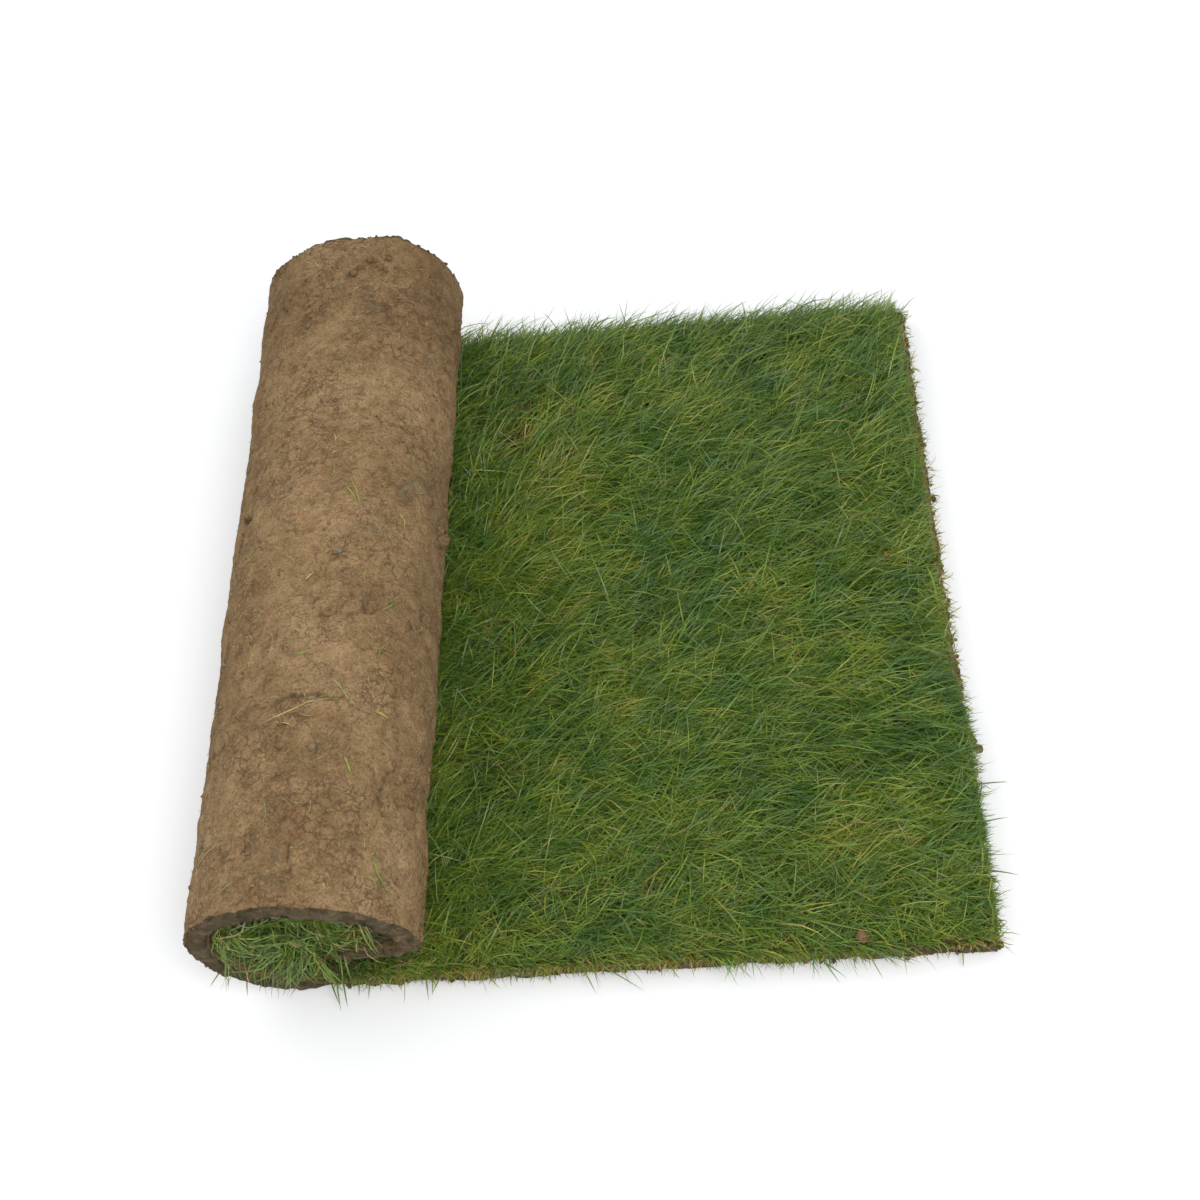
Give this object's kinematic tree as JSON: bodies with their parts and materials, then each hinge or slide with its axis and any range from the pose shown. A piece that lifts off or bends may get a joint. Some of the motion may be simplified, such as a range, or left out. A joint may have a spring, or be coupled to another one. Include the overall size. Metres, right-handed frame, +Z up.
{
  "type": "roll of turf",
  "caption": "Strip of lawn turf rolled grass side in, its soil side showing, with one end rolled out flat on the ground and its grass standing.",
  "frame": {"origin": "on the ground, in the middle of the part's box", "axes": "+Z up, +X from the roll towards the cut end of the laid stretch, Y along the roll's axis and across the strip"},
  "size_m": [0.5864, 0.61, 0.1749],
  "materials": {
    "soil": "matte",
    "grass": "matte"
  },
  "bodies": {
    "root": {"sod": "soil", "grass": "grass"}
  },
  "joints": []
}
